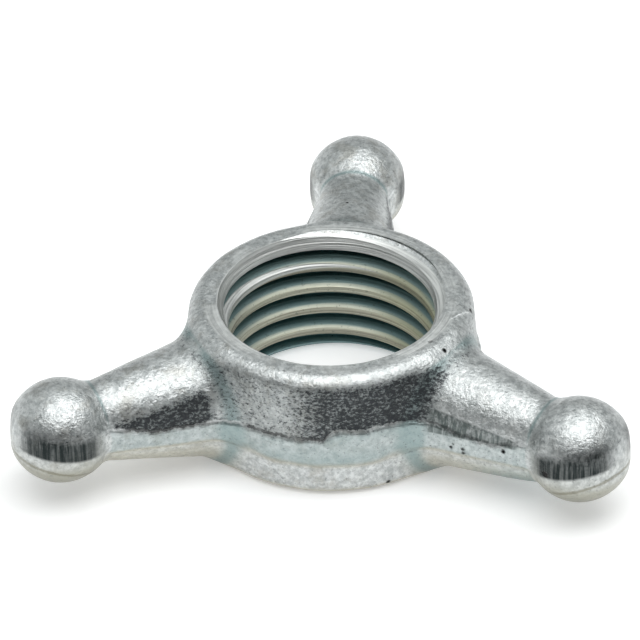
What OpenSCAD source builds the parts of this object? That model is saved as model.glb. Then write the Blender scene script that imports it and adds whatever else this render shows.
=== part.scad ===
// Lock nut: a drop-forged ring with a threaded bore and three ball-ended arms.
// The thread itself is left plain here: the bore is cut at the thread's minor diameter.
// Origin: on the bore's axis, at the bottom face. +Z runs up the bore, the first arm lies along +Y.

/* [Thread] */
// Nominal diameter of the internal thread
thread_d = 36; // [33:0.5:38]
// Pitch of the internal thread
thread_pitch = 4; // [3:0.5:4.5]

/* [Hub] */
// Height of the hub between its two turned faces
hub_h = 21.2; // [19:0.2:25]
// Diameter of the hub at its parting line
hub_d = 45; // [44:0.5:52]
// Radius of the rounded edge round the top face
rim_round = 2.5; // [1.5:0.1:2.8]
// Radius of the rounded edge round the bottom face
foot_round = 1.5; // [1:0.1:2]
// Diameter of the countersink at its mouth
csk_d = 34.7; // [34:0.1:36]
// Included angle of the countersinks
csk_angle = 60; // [60:5:120]

/* [Forging] */
// Draft of the hub's walls, in degrees
draft = 4; // [2:0.5:6]
// Height of the hub's parting line
part_z = 9.8; // [9:0.1:11]
// Height of the trimmed land round the hub
hub_land_h = 4; // [2.5:0.1:5]
// How far the trimmed land stands proud of the hub
hub_land = 0.6; // [0.2:0.1:1]
// Height of the trimmed land along the arms
arm_land_h = 3.2; // [2.2:0.1:4]
// How far the trimmed land stands proud of the arms
arm_land = 0.4; // [0.2:0.1:1]
// How far the trimmed land stands proud of the balls
ball_land = 0.6; // [0.2:0.1:1]
// Distance between the two halves of an arm's section, left by the flash between the dies
die_gap = 1.9; // [1:0.1:2.2]

/* [Arms] */
// Number of arms, evenly spaced
arm_count = 3; // [2:1:4]
// Distance from the bore's axis to a ball's centre
arm_reach = 45; // [43:0.5:60]
// Height of the balls' centres above the bottom face
ball_z = 11.2; // [10.6:0.1:12.5]
// Angle at which the arms rise from the hub
arm_rise = 3; // [0:0.5:4]
// Radius of an arm's section where it leaves the hub
root_r = 8.6; // [7.5:0.1:9]
// Radius of an arm's section at the neck, where it meets the ball
neck_r = 5.3; // [4.6:0.1:6]
// Radius of the balls
ball_r = 7.2; // [6.8:0.1:8.5]
// Radius of the fillet between an arm and the hub
root_fillet = 3.5; // [2:0.1:4.5]
// Radius of the fillet between an arm and its ball
neck_fillet = 2.4; // [1:0.1:4]

/* [Hidden] */
$fn = 96;

// Overrun of a cutting tool past the face that it cuts
past = 1;

// Metric thread: the minor diameter is the nominal one less 1.0825 pitches
bore_r = (thread_d - 1.0825 * thread_pitch) / 2;
csk_depth = (csk_d / 2 - bore_r) / tan(csk_angle / 2);

hub_r = hub_d / 2;
function upper_wall(z) = hub_r - tan(draft) * (z - part_z);
function lower_wall(z) = hub_r - tan(draft) * (part_z - z);
rim_x = upper_wall(hub_h - rim_round) - rim_round / cos(draft);
foot_x = lower_wall(foot_round) - foot_round / cos(draft);

// The arm's side is a straight line from the root to the neck: radius = side_0 - side_k * s,
// with s the distance from the bore's axis
neck_s = arm_reach - sqrt(pow(ball_r, 2) - pow(neck_r, 2));
side_k = (root_r - neck_r) / (neck_s - hub_r);
side_0 = root_r + side_k * hub_r;
side_a = atan(side_k);
function side(s) = side_0 - side_k * s;

// An arm starts inside the ring's wall, clear of the thread
arm_start = (hub_r + bore_r) / 2;
// Centre, as [radius, s], of a fillet of radius f that touches the arm's side, moved out by g,
// and a circle of radius r about the point c on the arm's axis. Way is 1 for the fillet beyond
// that circle and -1 for the one before it.
function fillet_centre(c, r, f, g, way) =
    let (a = side_0 + g + f / cos(side_a), k = side_k,
         qa = 1 + k * k, qb = -2 * (a * k + c), qc = a * a + c * c - pow(r + f, 2),
         s = (-qb + way * sqrt(qb * qb - 4 * qa * qc)) / (2 * qa))
    [a - k * s, s];
function touch_side(p, f) = p - f * [cos(side_a), sin(side_a)];
function touch_circle(p, c, r, f) = [0, c] + (p - [0, c]) * r / (r + f);

// Where an arm's fillet to the hub ends, and the heights of the arm's two ridges there
flare_s = fillet_centre(0, hub_r, root_fillet, 0, 1)[1];
flare_z = ball_z - (arm_reach - flare_s) * sin(arm_rise);
ridge_top = flare_z + die_gap / 2 + side(flare_s);
ridge_low = flare_z - die_gap / 2 - side(flare_s);

// Half outline of an arm, in the plane of [radius, s], from inside the ring to the end of the
// ball. It is grown by g along the arm and by gb round the ball, and it flares to a hub of radius r
module arm_outline(r, g = 0, gb = 0) {
    at_root = fillet_centre(0, r, root_fillet, g, 1);
    at_neck = fillet_centre(arm_reach, ball_r + gb, neck_fillet, g, -1);
    on_ball = touch_circle(at_neck, arm_reach, ball_r + gb, neck_fillet);
    difference() {
        polygon([[0, arm_start], touch_circle(at_root, 0, r, root_fillet), at_root,
                 touch_side(at_root, root_fillet), touch_side(at_neck, neck_fillet), at_neck,
                 on_ball, [0, on_ball[1]]]);
        translate(at_root) circle(root_fillet);
        translate(at_neck) circle(neck_fillet);
    }
    intersection() {
        translate([0, arm_reach]) circle(ball_r + gb);
        square([2 * ball_r, arm_reach + 2 * ball_r]);
    }
}

// The two halves that the dies form, each half a turn of the outline about the arm's axis,
// moved apart by the gap between the dies
module forged_halves() {
    for (half = [0, 1])
        mirror([0, 0, half]) translate([0, 0, die_gap / 2])
            rotate([0, 90, 0]) rotate([0, 0, 90]) rotate_extrude(angle = 180) children();
}

// Flat band left by the trimming die, from a half outline in the plane of [radius, s]
module trimmed_band(h) {
    translate([0, 0, -h / 2]) linear_extrude(h)
        for (flip = [0, 1]) mirror([0, flip]) rotate(-90) children();
}

// Space for the arms. Near the hub it is a cone from the edge of each turned face to the arm's
// ridge, so the flares stay under the faces. Past the ridge's start it is open.
module flare_space() {
    far = 2 * arm_reach;
    rotate_extrude()
        polygon([[0, 0], [foot_x, 0], [flare_s, max(0, ridge_low)], [flare_s, -hub_h],
                 [far, -hub_h], [far, 2 * hub_h], [flare_s, 2 * hub_h],
                 [flare_s, min(hub_h, ridge_top)], [rim_x, hub_h], [0, hub_h]]);
}

module hub() {
    rotate_extrude() {
        polygon([[0, 0], [foot_x, 0],
                 [foot_x + foot_round * cos(draft), foot_round * (1 - sin(draft))],
                 [hub_r, part_z],
                 [rim_x + rim_round * cos(draft), hub_h - rim_round * (1 - sin(draft))],
                 [rim_x, hub_h], [0, hub_h]]);
        translate([rim_x, hub_h - rim_round]) circle(rim_round);
        translate([foot_x, foot_round]) circle(foot_round);
    }
    translate([0, 0, part_z - hub_land_h / 2]) cylinder(hub_land_h, r = hub_r + hub_land);
}

module arm() {
    intersection() {
        translate([arm_reach, 0, ball_z]) rotate([0, -arm_rise, 0]) translate([-arm_reach, 0, 0]) {
            forged_halves() arm_outline(hub_r);
            trimmed_band(arm_land_h) arm_outline(hub_r + hub_land, arm_land, ball_land);
        }
        flare_space();
    }
}

// Bore at the thread's minor diameter, with a countersink at each end
module bore() {
    translate([0, 0, -past]) cylinder(hub_h + 2 * past, r = bore_r);
    for (end = [0, 1])
        translate([0, 0, end * hub_h]) mirror([0, 0, end])
            translate([0, 0, -past])
                cylinder(csk_depth + past, csk_d / 2 + past * tan(csk_angle / 2), bore_r);
}

module lock_nut() {
    color([0.72, 0.74, 0.75])
        difference() {
            union() {
                hub();
                for (i = [0 : arm_count - 1]) rotate(90 + i * 360 / arm_count) arm();
            }
            bore();
        }
}

lock_nut();
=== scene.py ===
import math

import bmesh
import bpy
from mathutils import Matrix, Vector


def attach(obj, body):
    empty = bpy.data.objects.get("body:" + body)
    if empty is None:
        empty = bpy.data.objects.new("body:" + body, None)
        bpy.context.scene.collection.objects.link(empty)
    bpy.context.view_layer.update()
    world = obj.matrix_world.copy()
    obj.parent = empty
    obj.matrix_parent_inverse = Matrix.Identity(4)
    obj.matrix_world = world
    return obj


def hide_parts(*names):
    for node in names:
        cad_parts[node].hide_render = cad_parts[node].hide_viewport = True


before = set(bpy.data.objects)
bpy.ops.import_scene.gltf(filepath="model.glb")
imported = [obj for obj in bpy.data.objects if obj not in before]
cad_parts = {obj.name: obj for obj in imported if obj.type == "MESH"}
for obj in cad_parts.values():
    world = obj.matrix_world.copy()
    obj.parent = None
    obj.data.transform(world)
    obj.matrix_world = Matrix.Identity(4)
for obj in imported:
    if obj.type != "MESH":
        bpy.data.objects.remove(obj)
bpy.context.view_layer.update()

# Lock nut: a ring and three ball-ended arms, struck in one piece from a steel bar between two dies.
# The flash along the parting line is sheared off, the faces are turned, and the bore is drilled and
# tapped M36 x 4. The whole nut is then plated with bright zinc.

# the blank's sizes, in millimetres, with its foot at height 0 and its back arm along y;
# an angle that names a direction is in degrees from x
HUB_HEIGHT = 21.2
HUB_RADIUS = 22.5
RIM_ROUND = 2.5
FOOT_ROUND = 1.5
DRAFT = math.radians(4)
PARTING_HEIGHT = 9.8
ARM_REACH = 45.0
BALL_HEIGHT = 11.2
ARM_RISE = math.radians(3)
ROOT_RADIUS = 8.6
NECK_RADIUS = 5.3
BALL_RADIUS = 7.2
HALF_DIE_GAP = 0.95
ROOT_FILLET = 3.0
NECK_FILLET = 1.0
FLARE_FILLET = 1.0
RIGHT_ARM_ANGLE = -30
RIGHT_NECK_DEEPER = 0.95

# the flares stay under one cone and over another: each cone's radius at the face, and its normal
UNDER_RIM_RADIUS, UNDER_RIM_OUT, UNDER_RIM_UP = 19.4, 0.42, 0.907
OVER_FOOT_RADIUS, OVER_FOOT_OUT, OVER_FOOT_DOWN = 20.4, 0.3, 0.954
RING_CORE_RADIUS = 23.0

# the trimmed land: how far it stands proud, its torn upper edge and its lower one
HUB_LAND = 0.22
ARM_LAND = 0.12
ARM_LAND_BELOW = -1.9
BALL_LAND = 0.85
BALL_TRIM = 0.5
BALL_EDGE_ROUND = 0.5
LAND_ROUND = 0.9
LAND_CORNER = 3.0
LAND_FILLET = 1.0
EDGE_HEIGHT = 11.1
EDGE_WANDER = 0.8
EDGE_TEAR = 1.3
NOTCH_ANGLE = -66
NOTCH_RISE = 1.5
CREASE_HEIGHT = 5.8
CREASE_RISE = 2.1
CREASE_WANDER = 0.8

# the box that the blank is grown in, and the size of its grains
BLANK_LOW = (-47.4, -31.2, -0.6)
BLANK_HIGH = (47.4, 53.6, 21.8)
GRAIN = 0.4


class Measure:
    """A number that Math nodes work out at each point, and that adds and multiplies as numbers do."""

    def __init__(self, tree, socket):
        self.tree, self.socket = tree, socket

    def work(self, operation, *others):
        node = self.tree.nodes.new("ShaderNodeMath")
        node.operation = operation
        for pin, value in zip(node.inputs, (self, *others)):
            if isinstance(value, Measure):
                self.tree.links.new(value.socket, pin)
            else:
                pin.default_value = value
        return Measure(self.tree, node.outputs[0])

    def __add__(self, other):
        return self.work("ADD", other)

    def __sub__(self, other):
        return self.work("SUBTRACT", other)

    def __rsub__(self, other):
        return self.work("MULTIPLY", -1) + other

    def __mul__(self, other):
        return self.work("MULTIPLY", other)

    __radd__ = __add__
    __rmul__ = __mul__


def least(first, *others):
    for other in others:
        first = first.work("MINIMUM", other)
    return first


def most(first, *others):
    for other in others:
        first = first.work("MAXIMUM", other)
    return first


def length(*parts):
    total = parts[0] * parts[0]
    for part in parts[1:]:
        total = total + part * part
    return total.work("SQRT")


def filleted(one, other, radius):
    """Two forms joined, with a fillet between them."""
    return most(least(one, other), radius) - length(most(radius - one, 0), most(radius - other, 0))


def rounded(one, other, radius):
    """The space inside two faces, with their edge rounded."""
    return least(most(one, other), -radius) + length(most(one + radius, 0), most(other + radius, 0))


def ramp(value, low, high):
    """From 0 at low to 1 at high, smoothly."""
    node = value.tree.nodes.new("ShaderNodeMapRange")
    node.interpolation_type = "SMOOTHSTEP"
    for name, limit in (("From Min", low), ("From Max", high)):
        node.inputs[name].default_value = limit
    value.tree.links.new(value.socket, node.inputs["Value"])
    return Measure(value.tree, node.outputs["Result"])


def split(tree, vector_socket):
    node = tree.nodes.new("ShaderNodeSeparateXYZ")
    tree.links.new(vector_socket, node.inputs[0])
    return [Measure(tree, pin) for pin in node.outputs]


def joined(tree, *parts):
    node = tree.nodes.new("ShaderNodeCombineXYZ")
    for pin, part in zip(node.inputs, parts):
        if isinstance(part, Measure):
            tree.links.new(part.socket, pin)
        else:
            pin.default_value = part
    return node.outputs[0]


def noise(tree, place, scale, detail=2.0, roughness=0.5):
    """Even noise between 0 and 1, centred on a half."""
    node = tree.nodes.new("ShaderNodeTexNoise")
    node.inputs["Scale"].default_value = scale
    node.inputs["Detail"].default_value = detail
    node.inputs["Roughness"].default_value = roughness
    tree.links.new(place, node.inputs["Vector"])
    return Measure(tree, node.outputs[0])


blank_tree = bpy.data.node_groups.new("Forged blank", "GeometryNodeTree")
blank_tree.interface.new_socket("Geometry", in_out="OUTPUT", socket_type="NodeSocketGeometry")
sizes = {
    "Hub height": HUB_HEIGHT, "Hub radius": HUB_RADIUS, "Arm reach": ARM_REACH, "Ball height": BALL_HEIGHT,
    "Root radius": ROOT_RADIUS, "Neck radius": NECK_RADIUS, "Ball radius": BALL_RADIUS,
}
pins = {}
for name, value in sizes.items():
    pin = blank_tree.interface.new_socket(name, in_out="INPUT", socket_type="NodeSocketFloat")
    pin.default_value = value
    pins[name] = pin.identifier
wanted = blank_tree.nodes.new("NodeGroupInput")
hub_height, hub_radius, arm_reach, ball_height, root_radius, neck_radius, ball_radius = [
    Measure(blank_tree, pin) for pin in wanted.outputs[:len(sizes)]
]


def arm_place(tree, position_socket, reach, lift):
    """Where a point lies: on the whole blank, and along, across and above the middle of its own arm."""
    x, y, z = split(tree, position_socket)
    radius = length(x, y)
    off_arm = (y.work("ARCTAN2", x) - math.pi / 2).work("WRAP", math.pi / 3, -math.pi / 3)
    out = radius * off_arm.work("COSINE")
    across = radius * off_arm.work("SINE")
    past_ball, above_ball = out - reach, z - lift
    along = past_ball * math.cos(ARM_RISE) + above_ball * math.sin(ARM_RISE)
    above = above_ball * math.cos(ARM_RISE) - past_ball * math.sin(ARM_RISE)
    return x, y, z, radius, along, across, above


def toward(x, y, radius, degrees, narrow, wide):
    """One inside the narrow angle about a direction, and nothing outside the wide one."""
    angle = math.radians(degrees)
    level = (x * math.cos(angle) + y * math.sin(angle)).work("DIVIDE", radius + 0.001)
    return ramp(level, math.cos(math.radians(wide)), math.cos(math.radians(narrow)))


def parting_edge(tree, x, y, radius, along):
    """Height of the ragged line that the trimming die left along the top of the lower half."""
    wander = noise(tree, joined(tree, x, y, 0.0), 0.17, 1.0) - 0.5
    tear = noise(tree, joined(tree, x, y, 5.0), 0.75, 3.0, 0.6) - 0.5
    climb = ramp(along, -24, -16) * 0.4 + ramp(along, -13, -4) * 1.5
    notch = toward(x, y, radius, NOTCH_ANGLE, 16, 23) * NOTCH_RISE
    return EDGE_HEIGHT + wander * EDGE_WANDER + tear * EDGE_TEAR + climb + notch


here = blank_tree.nodes.new("GeometryNodeInputPosition").outputs[0]
x, y, z, radius, along, across, above = arm_place(blank_tree, here, arm_reach, ball_height)

# the arm narrows from its root to its neck, and its section is two half rounds a die gap apart;
# the right arm is struck deeper towards its neck
neck_along = (ball_radius * ball_radius - neck_radius * neck_radius).work("SQRT") * -1
slope = (root_radius - neck_radius).work("DIVIDE", neck_along + arm_reach - hub_radius)
deeper = toward(x, y, radius, RIGHT_ARM_ANGLE, 40, 50) * ramp(along, -24, -7) * RIGHT_NECK_DEEPER
beyond_gap = most(above - HALF_DIE_GAP, above * -1 - HALF_DIE_GAP - deeper, 0)
lean = slope.work("ARCTANGENT").work("COSINE")
arm_radius = neck_radius - slope * (along - neck_along)
arm = most((length(across, beyond_gap) - arm_radius) * lean, along)
ball_skin = length(along, across, above) - ball_radius - BALL_LAND
ball_side = length(along, across) - ball_radius - BALL_TRIM
handle = filleted(arm, rounded(ball_skin, ball_side, BALL_EDGE_ROUND), NECK_FILLET)

# the ring tapers both ways from the parting line, and the arms' flares stay clear of its two faces
wall = (radius - hub_radius + (z - PARTING_HEIGHT).work("ABSOLUTE") * math.tan(DRAFT)) * math.cos(DRAFT)
hub = rounded(rounded(wall, z - hub_height, RIM_ROUND), z * -1, FOOT_ROUND)
under_rim = (radius - UNDER_RIM_RADIUS) * UNDER_RIM_OUT + (z - hub_height) * UNDER_RIM_UP
over_foot = (radius - OVER_FOOT_RADIUS) * OVER_FOOT_OUT - z * OVER_FOOT_DOWN
clear_space = least(most(under_rim, over_foot), RING_CORE_RADIUS - radius)
upper = most(filleted(hub, handle, ROOT_FILLET), filleted(hub, clear_space, FLARE_FILLET))

# the lower half stands proud of the upper one, up to the torn edge
edge = parting_edge(blank_tree, x, y, radius, along)
crease = (CREASE_HEIGHT + ramp(along, -28, -23) * CREASE_RISE
          + noise(blank_tree, here, 0.22, 3.0) * CREASE_WANDER)
hub_land = rounded(radius - hub_radius - HUB_LAND, crease - z, LAND_ROUND)
arm_land = most((across.work("ABSOLUTE") - ARM_LAND - arm_radius) * lean, ARM_LAND_BELOW - above, along)
land = filleted(hub_land, arm_land, LAND_CORNER)
step = z - edge
lower = most(filleted(upper, land, LAND_FILLET), step + most(upper, 0))
struck = least(upper, lower)

# scale and worn dies leave low bumps, which only sink below the true form
swells = (noise(blank_tree, here, 0.15, 2.0) - 0.8) * 0.2
dimples = (noise(blank_tree, here, 0.9, 2.0, 0.6) - 0.7) * 0.07
struck = most(struck - (swells + dimples), z - hub_height, z * -1)

# the blank is where the density passes its threshold
SKIN_DENSITY = 0.5
density = SKIN_DENSITY - struck
cube = blank_tree.nodes.new("GeometryNodeVolumeCube")
cube.inputs["Background"].default_value = -1.0
cube.inputs["Min"].default_value = BLANK_LOW
cube.inputs["Max"].default_value = BLANK_HIGH
for axis, low, high in zip("XYZ", BLANK_LOW, BLANK_HIGH):
    cube.inputs["Resolution " + axis].default_value = round((high - low) / GRAIN)
blank_tree.links.new(density.socket, cube.inputs["Density"])
skin = blank_tree.nodes.new("GeometryNodeVolumeToMesh")
skin.resolution_mode = "GRID"
skin.inputs["Threshold"].default_value = SKIN_DENSITY
blank_tree.links.new(cube.outputs["Volume"], skin.inputs["Volume"])

# the bore is drilled to the thread's minor diameter and countersunk at both ends, and the tap's cut
# is one right-handed groove, swept along a spiral
THREAD_RADIUS = 18.0
THREAD_PITCH = 4.0
THREAD_DEPTH_SHARE = 0.54127
BORE_RADIUS = THREAD_RADIUS - THREAD_DEPTH_SHARE * THREAD_PITCH
COUNTERSINK_RADIUS = 17.35
COUNTERSINK_SLOPE = math.tan(math.radians(30))
THREAD_HEIGHT = 1.45
THREAD_TURNED = 96
THREAD_START = THREAD_HEIGHT - THREAD_PITCH * THREAD_TURNED / 360
DRILL_LENGTH = 30.0
SINK_DEPTH = 7.0
SINK_CLEARANCE = 1.0
ROOT_HALF_WIDTH = 0.25
GROOVE_MOUTH_RADIUS = 15.4
FLANK_ANGLE = math.radians(30)
TURNS = 9
TURNS_BELOW = 2
SEGMENTS = 180

drill = blank_tree.nodes.new("GeometryNodeMeshCylinder")
drill.inputs["Vertices"].default_value = SEGMENTS
drill.inputs["Radius"].default_value = BORE_RADIUS
drill.inputs["Depth"].default_value = DRILL_LENGTH
lift = blank_tree.nodes.new("GeometryNodeTransform")
lift.inputs["Translation"].default_value = (0, 0, HUB_HEIGHT / 2)
blank_tree.links.new(drill.outputs["Mesh"], lift.inputs["Geometry"])
cutters = [lift.outputs["Geometry"]]
for face, half_turn, clearance in ((HUB_HEIGHT, math.pi, SINK_CLEARANCE), (0.0, 0.0, -SINK_CLEARANCE)):
    sink = blank_tree.nodes.new("GeometryNodeMeshCone")
    sink.inputs["Vertices"].default_value = SEGMENTS
    sink.inputs["Radius Top"].default_value = COUNTERSINK_RADIUS - SINK_DEPTH * COUNTERSINK_SLOPE
    sink.inputs["Radius Bottom"].default_value = COUNTERSINK_RADIUS + SINK_CLEARANCE * COUNTERSINK_SLOPE
    sink.inputs["Depth"].default_value = SINK_DEPTH + SINK_CLEARANCE
    turn = blank_tree.nodes.new("GeometryNodeTransform")
    turn.inputs["Rotation"].default_value = (half_turn, 0, 0)
    turn.inputs["Translation"].default_value = (0, 0, face + clearance)
    blank_tree.links.new(sink.outputs["Mesh"], turn.inputs["Geometry"])
    cutters.append(turn.outputs["Geometry"])

helix = blank_tree.nodes.new("GeometryNodeCurveSpiral")
helix.inputs["Resolution"].default_value = SEGMENTS
helix.inputs["Rotations"].default_value = TURNS
helix.inputs["Start Radius"].default_value = THREAD_RADIUS
helix.inputs["End Radius"].default_value = THREAD_RADIUS
helix.inputs["Height"].default_value = TURNS * THREAD_PITCH
helix.inputs["Reverse"].default_value = True
upright = blank_tree.nodes.new("GeometryNodeSetCurveNormal")
upright.mode = "Z_UP"
section = blank_tree.nodes.new("GeometryNodeCurvePrimitiveQuadrilateral")
section.mode = "POINTS"
inward = THREAD_RADIUS - GROOVE_MOUTH_RADIUS
mouth = ROOT_HALF_WIDTH + inward * math.tan(FLANK_ANGLE)
for name, point in (("Point 1", (0, -ROOT_HALF_WIDTH, 0)), ("Point 2", (0, ROOT_HALF_WIDTH, 0)),
                    ("Point 3", (-inward, mouth, 0)), ("Point 4", (-inward, -mouth, 0))):
    section.inputs[name].default_value = point
sweep = blank_tree.nodes.new("GeometryNodeCurveToMesh")
sweep.inputs["Fill Caps"].default_value = True
down = blank_tree.nodes.new("GeometryNodeTransform")
down.inputs["Translation"].default_value = (0, 0, THREAD_START - TURNS_BELOW * THREAD_PITCH)
blank_tree.links.new(helix.outputs["Curve"], upright.inputs["Curve"])
blank_tree.links.new(upright.outputs["Curve"], sweep.inputs["Curve"])
blank_tree.links.new(section.outputs["Curve"], sweep.inputs["Profile Curve"])
blank_tree.links.new(sweep.outputs["Mesh"], down.inputs["Geometry"])
cutters.append(down.outputs["Geometry"])

cut = blank_tree.nodes.new("GeometryNodeMeshBoolean")
cut.operation = "DIFFERENCE"
cut.solver = "MANIFOLD"
blank_tree.links.new(skin.outputs["Mesh"], cut.inputs["Mesh 1"])
for cutter in cutters:
    blank_tree.links.new(cutter, cut.inputs["Mesh 2"])

# only the nut is kept, not the crumbs that the cuts leave
island = blank_tree.nodes.new("GeometryNodeInputMeshIsland")
tally = blank_tree.nodes.new("GeometryNodeAccumulateField")
tally.inputs["Value"].default_value = 1.0
blank_tree.links.new(island.outputs["Island Index"], tally.inputs["Group ID"])
LARGEST_CRUMB = 1000
crumb = Measure(blank_tree, tally.outputs["Total"]).work("LESS_THAN", LARGEST_CRUMB)
clean = blank_tree.nodes.new("GeometryNodeDeleteGeometry")
blank_tree.links.new(cut.outputs["Mesh"], clean.inputs["Geometry"])
blank_tree.links.new(crumb.socket, clean.inputs["Selection"])

to_metres = blank_tree.nodes.new("GeometryNodeTransform")
MILLIMETRE = 0.001
to_metres.inputs["Scale"].default_value = (MILLIMETRE, MILLIMETRE, MILLIMETRE)
real = blank_tree.nodes.new("GeometryNodeRealizeInstances")
zinc = bpy.data.materials.new("zinc_plate")
plated = blank_tree.nodes.new("GeometryNodeSetMaterial")
plated.inputs["Material"].default_value = zinc
leave = blank_tree.nodes.new("NodeGroupOutput")
blank_tree.links.new(clean.outputs["Geometry"], to_metres.inputs["Geometry"])
blank_tree.links.new(to_metres.outputs["Geometry"], real.inputs["Geometry"])
blank_tree.links.new(real.outputs["Geometry"], plated.inputs["Geometry"])
blank_tree.links.new(plated.outputs["Geometry"], leave.inputs["Geometry"])

worker = bpy.data.objects.new("worker", bpy.data.meshes.new("worker"))
bpy.context.scene.collection.objects.link(worker)
modifier = worker.modifiers.new("Forge", "NODES")
modifier.node_group = blank_tree
for name, value in sizes.items():
    modifier[pins[name]] = value
bpy.context.view_layer.update()
seen = worker.evaluated_get(bpy.context.evaluated_depsgraph_get())
mesh = bpy.data.meshes.new_from_object(seen)
bpy.data.objects.remove(worker)
mesh.name = "forged_nut"
mesh.shade_smooth()

# the blank's own slot is empty, and only the one for the zinc is kept
mesh.materials.pop(index=0)

# the faces inside the bore keep their sharp corners, and the forged ones look soft
BORE_REACH = 18.2 * MILLIMETRE
BORE_CORNER = math.radians(20)
FORGED_CORNER = math.radians(50)
corners = bmesh.new()
corners.from_mesh(mesh)
for corner in corners.edges:
    middle = (corner.verts[0].co + corner.verts[1].co) / 2
    sharpest = BORE_CORNER if math.hypot(middle.x, middle.y) < BORE_REACH else FORGED_CORNER
    corner.smooth = corner.calc_face_angle(0) < sharpest
corners.to_mesh(mesh)
corners.free()
nut = bpy.data.objects.new("forged_nut", mesh)
bpy.context.scene.collection.objects.link(nut)

# the zinc lies smooth on the turned and tapped faces, is mottled by the scale above the parting line,
# and is scored down the faces that the die sheared; a painted dark reflection lies over the scale and
# the sheared faces, painted shade in the hollows, and painted highlights along the torn edge's lip and the
# lap
zinc.use_nodes = True
plate = zinc.node_tree
metal = plate.nodes["Principled BSDF"]
metal.inputs["Metallic"].default_value = 1.0


def over(tree, amount, under, top):
    """One colour laid over another."""
    node = tree.nodes.new("ShaderNodeMix")
    node.data_type = "RGBA"
    tree.links.new(amount.socket, node.inputs["Factor"])
    for pin, colour in ((node.inputs[6], under), (node.inputs[7], top)):
        if isinstance(colour, tuple):
            pin.default_value = (*colour, 1)
        else:
            tree.links.new(colour, pin)
    return node.outputs[2]


spot = plate.nodes.new("ShaderNodeTexCoord")
grow = plate.nodes.new("ShaderNodeVectorMath")
grow.operation = "SCALE"
grow.inputs["Scale"].default_value = 1 / MILLIMETRE
plate.links.new(spot.outputs["Object"], grow.inputs[0])
place = grow.outputs[0]
x, y, z, radius, along, across, above = arm_place(plate, place, ARM_REACH, BALL_HEIGHT)
facing = split(plate, spot.outputs["Normal"])
facing_down = facing[2] * -1
step = z - parting_edge(plate, x, y, radius, along)

# where the tools have been: in the thread, on the countersinks and on the top face
tapped = (1.0 - ramp(radius, 18.1, 18.2)) * ramp(radius + z * -0.577, 6.7, 6.9)
inside = 1.0 - ramp(radius, 17.3, 17.6)
top_turned = ramp(z, 21.1, 21.18) * (1.0 - ramp(radius, 18.9, 19.6))
turned = most(inside, top_turned)

grit = noise(plate, joined(plate, x, y, z * 1.6), 1.6, 4.0, 0.74)

# sheared faces: on both flanks of each ball, and along the front of one arm; their dark colour
# is partly the scored shear and partly a painted dark reflection
right_arm = toward(x, y, radius, RIGHT_ARM_ANGLE, 40, 50)
level = above - along * (0.1 + 0.1 * right_arm)
ball_shear_and_reflection = (ramp(along, -4.5, -2) * ramp(across.work("ABSOLUTE"), 0.0, 4.5)
             * ramp(level, -1.3, -0.6) * (1.0 - ramp(level + grit * 1.2, 2.4, 5.0)))
arm_shear_and_reflection = (right_arm * ramp(across * -1, 1, 3) * ramp(along, -22.5, -20.5) * (1.0 - ramp(along, -8, -6.5))
            * ramp(above, 0.7, 1.0) * (1.0 - ramp(above + along * 0.19, 0.3, 0.7)))
scored = noise(plate, joined(plate, x * 2.0, y * 2.0, z * 0.06), 1.0, 3.0, 0.65)
streaks = ramp(scored, 0.36, 0.62)

# scale: dark mottling on the upper half, together with a painted dark reflection, strongest towards
# the front and low on the arms
DARK_REFLECTION_ANGLE = -68
on_ring = 1.0 - ramp(radius, 23.5, 26)
ring_dark_reflection = (on_ring * (0.42 + 0.58 * toward(x, y, radius, DARK_REFLECTION_ANGLE, 10, 38))
              * (1.0 - ramp(z, 19.0, 20.5)) * (0.75 + noise(plate, place, 0.4, 2.0) * 0.5))
arm_dark_reflection = ((1.0 - on_ring) * (1.0 - right_arm * ramp(across * -1, 0, 2) * 0.9)
             * ramp(across.work("ABSOLUTE"), 3, 5) * (1.0 - ramp(along, -7, -5))
             * (1.0 - ramp(above + along * 0.24, 0.0, 2.2)))
# this mask carries the scale's mottling and the painted dark reflection together
scale = most(ring_dark_reflection, arm_dark_reflection) * ramp(step, -0.1, 0.1) * (1.0 - turned)
scale_and_reflection_spots = ramp(grit + scale * 0.27, 0.60, 0.80)

# the plate's own unevenness, with stains and black specks
tone = ramp(noise(plate, place, 1.0, 5.0, 0.72), 0.34, 0.66)
grime = ramp(noise(plate, place, 0.3, 5.0, 0.72), 0.48, 0.66) * (1.0 - turned)
speck = ramp(noise(plate, place, 2.2, 2.0, 0.5), 0.62, 0.70)

# painted shade in the hollows between the forms and at the necks, tinted blue-green
ARM_LENGTH = 17.6
ring_gap = radius - HUB_RADIUS + (z - PARTING_HEIGHT).work("ABSOLUTE") * math.tan(DRAFT)
arm_size = ROOT_RADIUS + (HUB_RADIUS - ARM_REACH - along) * ((ROOT_RADIUS - NECK_RADIUS) / ARM_LENGTH)
arm_gap = length(across, most(above.work("ABSOLUTE") - HALF_DIE_GAP, 0)) - arm_size
ball_gap = length(along, across, above) - BALL_RADIUS - BALL_LAND
gap = least(ring_gap, arm_gap, ball_gap)
neck_shade = ramp(gap, 0.03, 0.25) * ramp(along, -9, -7) * ramp(step, -0.2, 0.2)
hollow_shade = most(ramp(gap, 0.0, 0.7), neck_shade) * (1.0 - turned)

# a few deep pits, painted black as painted shade inside them: the place and the reach of each
PITS = (
    (19.6, -20.7, 9.2, 0.22), (19.9, -20.9, 9.9, 0.2), (21.4, -21.4, 9.3, 0.3), (21.5, -21.4, 8.6, 0.3),
    (27.6, -23.5, 10.8, 0.3), (34.2, -28.4, 10.7, 0.5), (10.0, -19.4, 1.2, 0.35), (15.9, -10.4, 21.2, 0.3),
    (18.1, -11.5, 20.4, 0.35), (21.3, -0.5, 20.0, 0.4), (-0.1, 29.4, 18.5, 0.25),
)
off_pits = [length(x - east, y - north, z - high) - reach for east, north, high, reach in PITS]
pit = 1.0 - ramp(least(*off_pits) + grit * 0.5, 0.1, 0.4)
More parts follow.
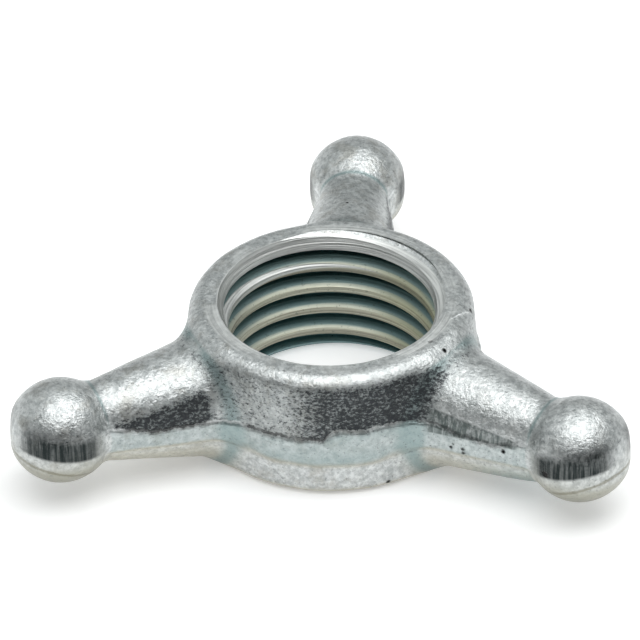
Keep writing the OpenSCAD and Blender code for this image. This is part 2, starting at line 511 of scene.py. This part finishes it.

# a lap that the forging left over the rim, with a painted highlight along it as a fine bright line
off_lap = x * 0.78 - y * 0.62 - 17.25 + (grit - 0.5) * 0.8
down_lap = x * 0.62 + y * 0.78 - 8.24
lap_and_highlight = ((1.0 - ramp(off_lap.work("ABSOLUTE"), 0.04, 0.2)) * ramp(down_lap, -0.3, 0.1)
       * (1.0 - ramp(down_lap, 3.6, 4.2)) * ramp(z, 18, 19))

# the torn edge gets a painted shade line, and a painted highlight on its lip in one hollow and at the
# necks
LIP_HIGHLIGHT_ANGLE = -126
line = (ramp(step, -0.3, -0.15) * (1.0 - ramp(step, 0.05, 0.3)) * (1.0 - ramp(along, -3, -1.5))
        * (1.0 - turned))
lip_highlight = most(toward(x, y, radius, LIP_HIGHLIGHT_ANGLE, 4, 7), ramp(along, -9, -7))
torn_edge_shade = (line * (1.0 - lip_highlight) * (1.0 - right_arm * 0.5)
             * (0.25 + ramp(noise(plate, place, 0.2), 0.35, 0.6) * 0.55))

# the seam where the ball's flash was sheared
seam = 1.0 - ramp((level + 3.4 + grit * 0.8 - along * 0.15).work("ABSOLUTE"), 0.1, 0.45)

# the forged faces' colours, each laid over the ones before it
DULL_ZINC = (0.38, 0.40, 0.40)
BRIGHT_ZINC = (0.68, 0.70, 0.695)
on_ball = ramp(along, -5, -3)
LAYERS = (
    # stains, a painted warm reflection on the faces that look down, painted shade on the balls'
    # undersides, painted shade in the hollows, and the specks
    (grime * (0.42 - right_arm * 0.3), (0.30, 0.285, 0.245)),
    (ramp(facing_down, 0.05, 0.6) * 0.6, (0.60, 0.57, 0.45)),
    (ramp(facing_down, -0.2, 0.4) * on_ball * 0.8, (0.34, 0.335, 0.28)),
    (hollow_shade * 0.8, (0.25, 0.335, 0.335)),
    (speck * 0.5, (0.14, 0.15, 0.15)),
    # scale with the painted dark reflection, as a wash and as spots, and the sheared faces, whose dark is
    # partly a painted reflection
    (scale * 0.72, (0.15, 0.175, 0.175)),
    (scale_and_reflection_spots * 0.92, (0.03, 0.032, 0.036)),
    (ball_shear_and_reflection * (0.82 + streaks * 0.18), (0.022, 0.028, 0.028)),
    (arm_shear_and_reflection * (0.5 + streaks * 0.45), (0.10, 0.12, 0.115)),
    # the torn edge's painted shade and painted highlight, the seam, and the pits' painted shade
    (torn_edge_shade, (0.04, 0.04, 0.04)),
    (line * lip_highlight * (1.0 - ramp(along, -4.5, -3)) * 0.5, (0.80, 0.82, 0.82)),
    (seam * on_ball * 0.6, (0.16, 0.15, 0.10)),
    (pit, (0.01, 0.01, 0.01)),
)
colour = over(plate, tone, DULL_ZINC, BRIGHT_ZINC)
for amount, layer in LAYERS:
    colour = over(plate, amount, colour, layer)

# thread: tan crests that turn olive to the right as a painted warm reflection, and blue-green roots
TAN_CREST = (0.49, 0.49, 0.40)
OLIVE_CREST = (0.44, 0.44, 0.26)
WORN_CREST = (0.22, 0.21, 0.17)
TAN_FLANK = (0.47, 0.485, 0.41)
OLIVE_FLANK = (0.42, 0.43, 0.27)
depth = (radius - BORE_RADIUS) * (1 / (THREAD_RADIUS - BORE_RADIUS))
turning = noise(plate, joined(plate, radius * 3.0, z * 3.0 + x * 0.06, y * 0.06), 1.0, 3.0, 0.6)
worn = ramp(turning, 0.35, 0.65)
olive_reflection = ramp(x, 2.0, 12.0) * 0.6
crest = over(plate, worn * 0.8, over(plate, olive_reflection, TAN_CREST, OLIVE_CREST), WORN_CREST)
flank = over(plate, olive_reflection, TAN_FLANK, OLIVE_FLANK)
thread_colour = over(plate, ramp(depth, 0.03, 0.1), crest, flank)
THREAD_LAYERS = (
    # painted shade down the groove, darkest at the root, and on the flanks that look down; and the specks
    (ramp(depth + worn * 0.1, 0.2, 0.45), (0.20, 0.28, 0.28)),
    (ramp(depth, 0.4, 0.9), (0.06, 0.11, 0.108)),
    (ramp(facing_down, 0.1, 0.4) * ramp(depth, 0.05, 0.2), (0.24, 0.36, 0.37)),
    (speck * 0.4, (0.10, 0.12, 0.11)),
)
for amount, layer in THREAD_LAYERS:
    thread_colour = over(plate, amount, thread_colour, layer)
colour = over(plate, tapped, colour, thread_colour)

# the turned faces are brighter, with the tool's rings, and the lap's painted highlight lies over all
TURNED_DULL = (0.48, 0.49, 0.48)
TURNED_BRIGHT = (0.80, 0.81, 0.79)
LAP_HIGHLIGHT = (0.90, 0.92, 0.92)
turned_colour = over(plate, ramp(turning, 0.36, 0.64), TURNED_DULL, TURNED_BRIGHT)
colour = over(plate, turned * (1.0 - tapped) * (0.9 - top_turned * 0.3), colour, turned_colour)
colour = over(plate, lap_and_highlight * 0.85, colour, LAP_HIGHLIGHT)
plate.links.new(colour, metal.inputs["Base Color"])

rough = 0.24 + tone * 0.06 + scale * 0.12 + grit * 0.08 + inside * 0.16 + top_turned * 0.16
plate.links.new(rough.socket, metal.inputs["Roughness"])

# relief, in millimetres: shot-blasted skin, scale, pits, the lap, shear marks and the tools' rings
blasted = noise(plate, place, 1.9, 4.0, 0.68) * 0.15 * (1.0 - turned)
relief = (blasted + grit * scale * 0.12 - pit * 0.2 + lap_and_highlight * 0.06
          + scored * most(ball_shear_and_reflection, arm_shear_and_reflection) * 0.05
          + turning * turned * (1.0 - tapped) * 0.12 + turning * tapped * 0.03)
bump = plate.nodes.new("ShaderNodeBump")
bump.inputs["Strength"].default_value = 1.0
bump.inputs["Distance"].default_value = MILLIMETRE
plate.links.new(relief.socket, bump.inputs["Height"])
plate.links.new(bump.outputs["Normal"], metal.inputs["Normal"])

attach(nut, "root")
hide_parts("lock_nut")

# Table: a wide sheet of plain white paper, laid flat under the nut's foot.
# It shows nearly white and keeps the nut's shadow.
table_mesh = bpy.data.meshes.new("table")
HALF_TABLE = 6.0
table_corners = [(-HALF_TABLE, -HALF_TABLE, 0), (HALF_TABLE, -HALF_TABLE, 0),
                 (HALF_TABLE, HALF_TABLE, 0), (-HALF_TABLE, HALF_TABLE, 0)]
table_mesh.from_pydata(table_corners, [], [(0, 1, 2, 3)])
table = bpy.data.objects.new("table", table_mesh)
bpy.context.scene.collection.objects.link(table)
paper = bpy.data.materials.new("paper")
paper.use_nodes = True
sheet = paper.node_tree.nodes["Principled BSDF"]
PAPER = (0.88, 0.88, 0.88, 1)
sheet.inputs["Base Color"].default_value = PAPER
sheet.inputs["Roughness"].default_value = 1.0
sheet.inputs["Specular IOR Level"].default_value = 0.0
sheet.inputs["Emission Color"].default_value = (1, 1, 1, 1)
ray = paper.node_tree.nodes.new("ShaderNodeLightPath")
seen_ray = most(Measure(paper.node_tree, ray.outputs["Is Camera Ray"]),
                Measure(paper.node_tree, ray.outputs["Is Glossy Ray"]),
                Measure(paper.node_tree, ray.outputs["Is Transmission Ray"]))
PAPER_GLOW = 0.3
paper.node_tree.links.new((seen_ray * PAPER_GLOW).socket, sheet.inputs["Emission Strength"])
table_mesh.materials.append(paper)

# Light: one wide soft box overhead, a little to the front and right.
# The room round it is dim in front, and brighter behind, at the sides and overhead.
room = bpy.data.worlds.new("room")
room.use_nodes = True
air = room.node_tree
look = air.nodes.new("ShaderNodeTexCoord")
east, north, high = split(air, look.outputs["Generated"])
FRONT_GLOW, BACK_GLOW, LEFT_GLOW, RIGHT_GLOW, TOP_GLOW = 0.05, 0.42, 0.25, 0.15, 0.4
glow = (FRONT_GLOW + ramp(north, -0.8, 0.4) * BACK_GLOW + ramp(east * -1, 0.3, 1.0) * LEFT_GLOW
        + ramp(east, 0.6, 1.1) * RIGHT_GLOW + ramp(high, 0.3, 0.95) * TOP_GLOW)
air.links.new(glow.socket, air.nodes["Background"].inputs["Strength"])
air.nodes["Background"].inputs["Color"].default_value = (0.96, 1.0, 1.0, 1)
bpy.context.scene.world = room
soft_box = bpy.data.lights.new("soft_box", "AREA")
soft_box.shape = "RECTANGLE"
soft_box.size, soft_box.size_y = 0.54, 0.30
LAMP_STRENGTH = 2.6
LAMP_DISTANCE = 0.42
soft_box.energy = LAMP_STRENGTH * math.pi * soft_box.size * soft_box.size_y
hung = bpy.data.objects.new("soft_box", soft_box)
overhead = Vector((0.14, -0.19, 0.97)).normalized()
hung.location = overhead * LAMP_DISTANCE
hung.rotation_euler = overhead.to_track_quat("Z", "Y").to_euler()
bpy.context.scene.collection.objects.link(hung)

# Camera: a long lens on a stand, from above the front and a little to the right.
# It is turned slightly about its own axis.
camera = bpy.data.cameras.new("camera")
camera.lens = 281.25
camera.sensor_width = 36
camera.clip_start, camera.clip_end = 0.05, 20
camera_object = bpy.data.objects.new("camera", camera)
stand = Vector((0.06439, -0.61522, 0.4635))
aim = Vector((-0.00427, 0.02327, 0.0))
roll = math.radians(-1.6)
forward = (aim - stand).normalized()
right = forward.cross(Vector((0, 0, 1))).normalized()
up = right.cross(forward)
right, up = right * math.cos(roll) + up * math.sin(roll), up * math.cos(roll) - right * math.sin(roll)
turn = Matrix((right, up, -forward)).transposed().to_4x4()
camera_object.matrix_world = Matrix.Translation(stand) @ turn
bpy.context.scene.collection.objects.link(camera_object)
bpy.context.scene.camera = camera_object
bpy.context.scene.view_settings.view_transform = "Standard"
